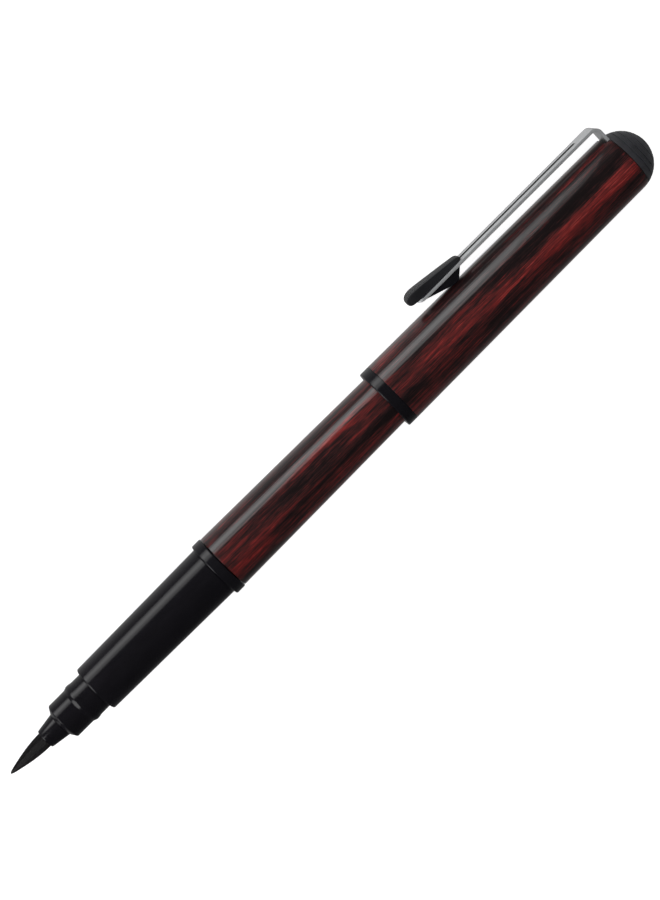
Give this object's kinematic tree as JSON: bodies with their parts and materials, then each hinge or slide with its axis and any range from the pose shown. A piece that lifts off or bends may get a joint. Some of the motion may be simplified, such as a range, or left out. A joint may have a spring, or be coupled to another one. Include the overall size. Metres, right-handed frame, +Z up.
{
  "type": "pocket brush pen",
  "caption": "Cartridge-fed calligraphy brush pen with a fine bristle tuft, black grip, wood-grain lacquered barrel, and its clipped cap pushed on the rear.",
  "frame": {"origin": "middle of the pen's footprint, on the table that it lies on", "axes": "+X along the pen from the brush tip to the domed end, +Y the way the clip points, +Z up"},
  "size_m": [0.168, 0.018, 0.0133],
  "materials": {
    "grain_lacquer": "clear gloss lacquer over dark red and black lengthwise wood-like grain",
    "gloss_black": "polished black moulded plastic",
    "dull_black": "satin black moulded plastic",
    "clear_plastic": "milky translucent moulded plastic",
    "bristle": "fine black synthetic bristles, damp with ink",
    "felt": "bonded fibre rod",
    "seal_rubber": "soft black rubber",
    "clip_steel": "bright stamped spring steel with fine lengthwise brushing",
    "ball_steel": "plain turned steel"
  },
  "bodies": {
    "section": {"tuft_base": "bristle", "brush_ferrule": "gloss_black", "nose_sleeve": "gloss_black", "feed_core": "clear_plastic", "ink_wick": "felt", "cartridge_nipple": "gloss_black", "grip_section": "gloss_black"},
    "tuft": {"tuft_bristles": "bristle"},
    "cartridge": {"cartridge_body": "clear_plastic", "cartridge_mouth_seal": "seal_rubber"},
    "ball": {"cartridge_ball": "ball_steel"},
    "collar": {"collar_ring": "gloss_black"},
    "barrel": {"barrel_tube": "grain_lacquer", "barrel_thread_bush": "dull_black", "barrel_end_plug": "dull_black"},
    "cap": {"cap_mouth_ring": "gloss_black", "cap_tube": "grain_lacquer", "inner_cap": "dull_black", "clip_anchor_plug": "dull_black", "finial_screw": "ball_steel", "dome_cap": "dull_black", "clip_leg": "clip_steel"},
    "clip": {"clip_arm": "clip_steel", "clip_bead": "gloss_black", "clip_foot": "gloss_black"}
  },
  "joints": [
    {"name": "tuft_bend", "type": "hinge", "parent": "section", "child": "tuft", "pos_m": [-0.0761, -0.00235, 0.00664], "axis": [0, 0, 1], "range_deg": [-30, 30], "stiffness_Nm_per_rad": 0.001},
    {"name": "cartridge_pull", "type": "slide", "parent": "section", "child": "cartridge", "axis": [1, 0, 0], "range_m": [0, 0.0095]},
    {"name": "ball_roll", "type": "slide", "parent": "cartridge", "child": "ball", "axis": [1, 0, 0], "range_m": [0, 0.04]},
    {"name": "barrel_draw", "type": "slide", "parent": "section", "child": "collar", "axis": [1, 0, 0], "range_m": [0, 0.062]},
    {"name": "barrel_unscrew", "type": "hinge", "parent": "collar", "child": "barrel", "pos_m": [-0.0277, -0.00235, 0.00664], "axis": [1, 0, 0], "range_deg": [0, 900]},
    {"name": "cap_pull", "type": "slide", "parent": "barrel", "child": "cap", "axis": [1, 0, 0], "range_m": [0, 0.031]},
    {"name": "clip_flex", "type": "hinge", "parent": "cap", "child": "clip", "pos_m": [0.0773, 0.00651, 0.00664], "axis": [0, 0, -1], "range_deg": [0, 6], "stiffness_Nm_per_rad": 0.5}
  ]
}
